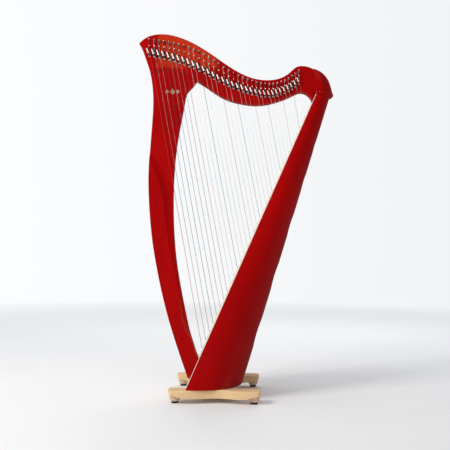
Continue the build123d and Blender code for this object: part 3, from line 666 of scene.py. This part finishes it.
def square_end(start):
    """Section of a tuning pin: round, and square for the key beyond a place along it."""
    def shape(along, radius, t):
        if along > start:
            return radius
        flat = KEY_HALF_WIDTH / max(abs(math.cos(t)), abs(math.sin(t)))
        return min(radius, flat)
    return shape


def make_tuning_pins():
    """Turned pins: grooved head in front, thread in the neck, square end for the key behind."""
    pins = Shape()
    face = -neck_low.y
    back = -neck_high.y
    for place in tuning_places:
        tip = -place.tip
        far = -place.far
        profile = [
            (tip, 0.4 * MM), (tip - 0.1 * MM, 1.5 * MM), (tip - 0.5 * MM, 2.15 * MM),
            (tip - 1.1 * MM, PIN_RADIUS), (tip - 2.2 * MM, PIN_RADIUS), (tip - 2.4 * MM, 2.3 * MM),
            (tip - 2.9 * MM, 2.3 * MM), (tip - 3.1 * MM, PIN_RADIUS), (face + 3.4 * MM, PIN_RADIUS),
        ]
        profile += pin_thread(face + 3.2 * MM, face - 1.0 * MM)
        profile += [(back + 1.0 * MM, 2.35 * MM)]
        profile += pin_thread(back + 0.5 * MM, back - 2.4 * MM)
        profile += [
            (back - 2.9 * MM, 2.45 * MM), (back - 3.3 * MM, 2.9 * MM), (far + 1.0 * MM, 2.75 * MM),
            (far + 0.4 * MM, 2.5 * MM), (far, 1.9 * MM), (far, 0.3 * MM),
        ]
        profile.sort(reverse=True)
        pins.lathe(Vector((place.x, 0, place.z)), profile, PIN_SIDES, square_end(back - 3.1 * MM))
    pins.make("tuning_pins_turned", "nickel", ROOT, ["tuning_pins"], sharp=32)


def make_bridge_pins():
    """Slim posts with a dimpled flange at the tip and a collar on the neck."""
    posts = Shape()
    face = -neck_low.y
    r = BRIDGE_RADIUS
    for place in bridge_places:
        tip = -place.tip
        profile = [
            (tip - 0.55 * MM, 0.35 * MM), (tip - 0.5 * MM, 0.75 * MM), (tip, 0.95 * MM),
            (tip, r + 0.35 * MM), (tip - 0.3 * MM, r + 0.85 * MM), (tip - 0.7 * MM, r + MM),
            (tip - 1.1 * MM, r + 0.95 * MM), (tip - 1.6 * MM, r + 0.2 * MM), (tip - 2.2 * MM, r),
            (face + 3.2 * MM, r), (face + 2.5 * MM, r + 0.15 * MM), (face + 1.6 * MM, r + 0.85 * MM),
            (face + 1.2 * MM, r + MM), (face + 0.2 * MM, r + MM), (face - 0.2 * MM, r),
            (face - 12 * MM, r),
        ]
        posts.lathe(Vector((place.x, 0, place.z)), profile, BRIDGE_PIN_SIDES)
    posts.make("bridge_pins_turned", "nickel", ROOT, ["bridge_pins"], sharp=40)


make_tuning_pins()
make_bridge_pins()


# ---------- levers ----------

# The levers of the C strings and of the F strings, counted from the bass
RED_LEVERS = (1, 8, 15, 22, 29)
BLACK_LEVERS = (4, 11, 18, 25, 32)
RING_BELOW_PIVOT = 5.5 * MM
INSERT_RADIUS = 2.9 * MM
WELD_GAP = 0.002 * MM
EDGE_ROUNDING = 0.22 * MM
SHARP_EDGE = math.radians(35)


def lever_size(number):
    """Scale of a lever: three sizes, from the bass to the treble."""
    return 1.0 if number <= 11 else 0.9 if number <= 22 else 0.8


def soften(node):
    """Rounds the sharp edges of a CAD node with modifiers, leaving its mesh as it is."""
    weld = node.modifiers.new("weld", "WELD")
    weld.merge_threshold = WELD_GAP
    bevel = node.modifiers.new("bevel", "BEVEL")
    bevel.width = EDGE_ROUNDING
    bevel.segments = 2
    bevel.limit_method = "ANGLE"
    bevel.angle_limit = SHARP_EDGE


def paint_plate_shade():
    """Near-black painted shade on the lever plates, all but the bright ring at the foot of each."""
    mesh = nodes["lever_plates"].data
    mesh.materials.append(finishes["plate_painted_shade"])
    pivots = [Vector(joint["pos_m"]) for joint in frame["joints"]]
    lean = math.asin(frame["joints"][0]["axis"][2])
    up = Vector((-math.sin(lean), 0, math.cos(lean)))
    for face in mesh.polygons:
        gaps = [(face.center - pivot).length_squared for pivot in pivots]
        number = gaps.index(min(gaps)) + 1
        if (face.center - pivots[number - 1]).dot(up) > -RING_BELOW_PIVOT * lever_size(number):
            face.material_index = 1


def make_insert(joint, number):
    """Coloured disc on the hub of a C or F lever; it rides with the lever."""
    pivot = Vector(joint["pos_m"])
    hub_top = -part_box(joint["child"])[0].y
    reach = INSERT_RADIUS * lever_size(number)
    profile = [
        (hub_top + 0.05 * MM, 0.2 * MM), (hub_top + 0.03 * MM, 0.45 * reach),
        (hub_top - 0.02 * MM, 0.75 * reach), (hub_top - 0.12 * MM, 0.93 * reach),
        (hub_top - 0.35 * MM, reach), (hub_top - 1.3 * MM, reach),
    ]
    disc = Shape()
    disc.lathe(Vector((pivot.x, 0, pivot.z)), profile, PIN_SIDES)
    color = "red" if number in RED_LEVERS else "black"
    disc.make(f"lever_insert_{number:02d}", "insert_" + color, joint["child"],
              sharp=50)


paint_plate_shade()
for joint in frame["joints"]:
    number = int(joint["child"].split("_")[1])
    if number in RED_LEVERS + BLACK_LEVERS:
        make_insert(joint, number)
for name, node in nodes.items():
    if name.startswith("lever_"):
        soften(node)


# ---------- inlay ----------

# Middle of the inlay, from the pillar's outer edge and above the floor
INLAY_ACROSS = 88 * MM
INLAY_Z = 1172 * MM
# Each lozenge: how far along, half width and half height
LOZENGES = ((-21 * MM, 7 * MM, 9 * MM), (0, 10 * MM, 13 * MM), (21 * MM, 7 * MM, 9 * MM))


def inlay():
    """Three small lozenges let into the pillar's head, each with a raised rim."""
    pillar = nodes["pillar"].data
    corners = [tuple(face.vertices) for face in pillar.polygons]
    tree = BVHTree.FromPolygons([v.co for v in pillar.vertices], corners)
    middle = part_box("pillar")[0].x + INLAY_ACROSS
    shape = Shape()
    for across, width, height in LOZENGES:
        hit = tree.ray_cast(Vector((middle + across, -1, INLAY_Z)), Vector((0, 1, 0)))
        face = -hit[0].y

        def lozenge(along, radius, t, width=width, height=height):
            return radius / (abs(math.cos(t)) / width + abs(math.sin(t)) / height)

        profile = [
            (face + 0.30 * MM, 0.08), (face + 0.25 * MM, 0.40), (face + 0.05 * MM, 0.48),
            (face + 0.05 * MM, 0.76), (face + 0.25 * MM, 0.80), (face + 0.35 * MM, 0.84),
            (face + 0.35 * MM, 0.96), (face + 0.25 * MM, 1.0), (face - 0.3 * MM, 1.0),
        ]
        shape.lathe(Vector((middle + across, 0, INLAY_Z)), profile, 48, lozenge)
    shape.make("pillar_inlay", "inlay_gold", ROOT, sharp=40)


inlay()


# ---------- stage ----------

# Backdrop: its colour, its brightness at the left and the right, and where the floor fades into it
BACKDROP = (0.97, 0.985, 1.0)
WALL_LEFT = 1.0
WALL_RIGHT = 0.9
WALL_HALF_WIDTH = 3.5
FLOOR_HALF_SIZE = 9.0
FADE = (0.9, 5.5)


def make_floor():
    """Pale floor that fades into the backdrop far from the harp, where it glows with painted light, brighter at
    the left than the right.
    """
    mesh = bpy.data.meshes.new("floor")
    half = FLOOR_HALF_SIZE
    mesh.from_pydata([(-half, -half, 0), (half, -half, 0), (half, half, 0), (-half, half, 0)], [],
                     [(0, 1, 2, 3)])
    floor = bpy.data.objects.new("floor", mesh)
    bpy.context.scene.collection.objects.link(floor)
    f = Finish("pale_floor")
    cloud = f.noise(f.mapped((1.2, 1.2, 1.2)), detail=3)
    near = f.ramp(cloud, (0.3, (0.84, 0.845, 0.85)), (0.7, (0.88, 0.885, 0.89)))
    away = f.tree.nodes.new("ShaderNodeVectorMath")
    away.operation = "LENGTH"
    f.put(away.inputs[0], f.place)
    far = f.span(away.outputs["Value"], *FADE)
    across = f.dot(f.place, (1, 0, 0))
    glow = f.span(across, -WALL_HALF_WIDTH, WALL_HALF_WIDTH, WALL_LEFT, WALL_RIGHT)
    f.color(f.mix(far, near, (0, 0, 0)))
    # painted light: far from the harp the floor glows, brighter at the left than the right
    f.put(f.shader.inputs["Emission Strength"], f.math("MULTIPLY", far, glow))
    f.rough(f.span(cloud, 0.3, 0.7, 0.45, 0.6))
    f.set(Specular_IOR_Level=0.0, Emission_Color=(*BACKDROP, 1))
    mesh.materials.append(f.material)
    floor.visible_glossy = False


make_floor()


def area_light(name, place, target, width, height, power, color=(1, 1, 1), gloss=False, only=()):
    """Soft panel; one kind lights the surfaces, and the other is only what they reflect."""
    data = bpy.data.lights.new(name, "AREA")
    data.shape = "RECTANGLE"
    data.size = width
    data.size_y = height
    data.energy = power
    data.color = color
    light = bpy.data.objects.new(name, data)
    bpy.context.scene.collection.objects.link(light)
    away = Vector(place) - Vector(target)
    light.matrix_world = Matrix.Translation(place) @ away.to_track_quat("Z", "Y").to_matrix().to_4x4()
    light.visible_glossy = gloss
    light.visible_diffuse = not gloss
    light.visible_camera = False
    if only:
        lit = bpy.data.collections.new(name + "_lights")
        for piece in only:
            lit.objects.link(piece)
        light.light_linking.receiver_collection = lit


def pieces_of(*kinds):
    """Meshes whose first material is one of the named finishes."""
    wanted = [finishes[kind] for kind in kinds]
    return [piece for piece in bpy.context.scene.objects
            if piece.type == "MESH" and piece.data.materials and piece.data.materials[0] in wanted]


metal_pieces = pieces_of("nickel", "lever_metal", "dark_steel", "brass", "steel", "string_wound",
                         "inlay_gold")
red_pieces = pieces_of("red")
neck_pieces = [nodes["neck"], nodes["pillar"]]

# Panels that light the surfaces
area_light("key", (-2.5, -2.0, 2.6), (0, 0, 0.8), 1.1, 1.1, 82, (1.0, 0.98, 0.95))
area_light("fill", (2.6, -1.6, 1.2), (0, 0, 0.7), 1.6, 1.6, 2, (0.96, 0.98, 1.0))
area_light("back", (0.6, 2.8, 2.4), (0, 0, 0.7), 2.2, 1.6, 38)
# Panels that only the listed pieces reflect
area_light("neck_gloss", (-0.42, -2.5, 2.2), (-0.2, 0, 2.2), 0.46, 0.36, 4.4, (1.0, 0.2, 0.05), True,
           neck_pieces)
area_light("left_gloss", (-3.0, -0.6, 1.9), (0, 0, 0.9), 1.2, 2.2, 30, (1, 1, 1), True, red_pieces)
area_light("top_gloss", (-0.2, -0.9, 3.6), (0, 0, 1.2), 2.0, 0.9, 24, (1, 1, 1), True, red_pieces)
area_light("metal_front", (-0.12, -2.6, 2.0), (-0.1, 0, 1.25), 1.5, 0.66, 4.6, (1, 0.98, 0.95), True,
           metal_pieces)
area_light("pin_front", (-0.12, -2.6, 1.95), (-0.1, 0, 1.25), 1.5, 0.6, 6, (1, 0.98, 0.95), True,
           pieces_of("nickel"))
area_light("floor_gloss", (0, 0, 0.01), (0, 0, 1), 5.0, 5.0, 60, (0.95, 0.97, 1.0), True,
           [nodes["neck"], nodes["shoulder_cap"]] + metal_pieces)
area_light("metal_left", (-2.4, -1.6, 2.4), (-0.1, 0, 1.25), 1.4, 1.8, 45, (1, 0.99, 0.97), True,
           metal_pieces)


# Even light by direction, as two places along an axis and the strength at each
LIGHT_ACROSS = (-1.0, 1.0, 0.98, 0.14)
MIRRORED_FRONT_TO_BACK = (-0.8, -0.1, 0.003, 0.08)
WALL_ACROSS = (-0.34, 0.34, WALL_LEFT, WALL_RIGHT)
SOFT_COLOR = (0.95, 0.97, 1.0)


def make_world():
    """Pale backdrop, soft light from the left, and dimmer surroundings for what gloss reflects."""
    world = bpy.data.worlds.new("studio")
    bpy.context.scene.world = world
    world.use_nodes = True
    tree = world.node_tree
    tree.nodes.clear()
    place = tree.nodes.new("ShaderNodeTexCoord")
    split = tree.nodes.new("ShaderNodeSeparateXYZ")
    tree.links.new(place.outputs["Generated"], split.inputs[0])

    def background(color, strength):
        node = tree.nodes.new("ShaderNodeBackground")
        node.inputs[0].default_value = (*color, 1)
        tree.links.new(strength, node.inputs[1])
        return node

    def graded(axis, numbers, kind="LINEAR"):
        node = tree.nodes.new("ShaderNodeMapRange")
        node.interpolation_type = kind
        tree.links.new(split.outputs[axis], node.inputs[0])
        for i, number in enumerate(numbers):
            node.inputs[i + 1].default_value = number
        return node.outputs[0]

    def choose(condition, no, yes):
        node = tree.nodes.new("ShaderNodeMixShader")
        tree.links.new(condition, node.inputs[0])
        tree.links.new(no, node.inputs[1])
        tree.links.new(yes, node.inputs[2])
        return node.outputs[0]

    seen = background(BACKDROP, graded("X", WALL_ACROSS))
    soft = background(SOFT_COLOR, graded("X", LIGHT_ACROSS))
    gloss = background(SOFT_COLOR, graded("Y", MIRRORED_FRONT_TO_BACK, "SMOOTHSTEP"))
    path = tree.nodes.new("ShaderNodeLightPath")
    lit = choose(path.outputs["Is Glossy Ray"], soft.outputs[0], gloss.outputs[0])
    out = tree.nodes.new("ShaderNodeOutputWorld")
    shown = choose(path.outputs["Is Camera Ray"], lit, seen.outputs[0])
    tree.links.new(shown, out.inputs[0])


make_world()
bpy.context.scene.view_settings.view_transform = "Standard"
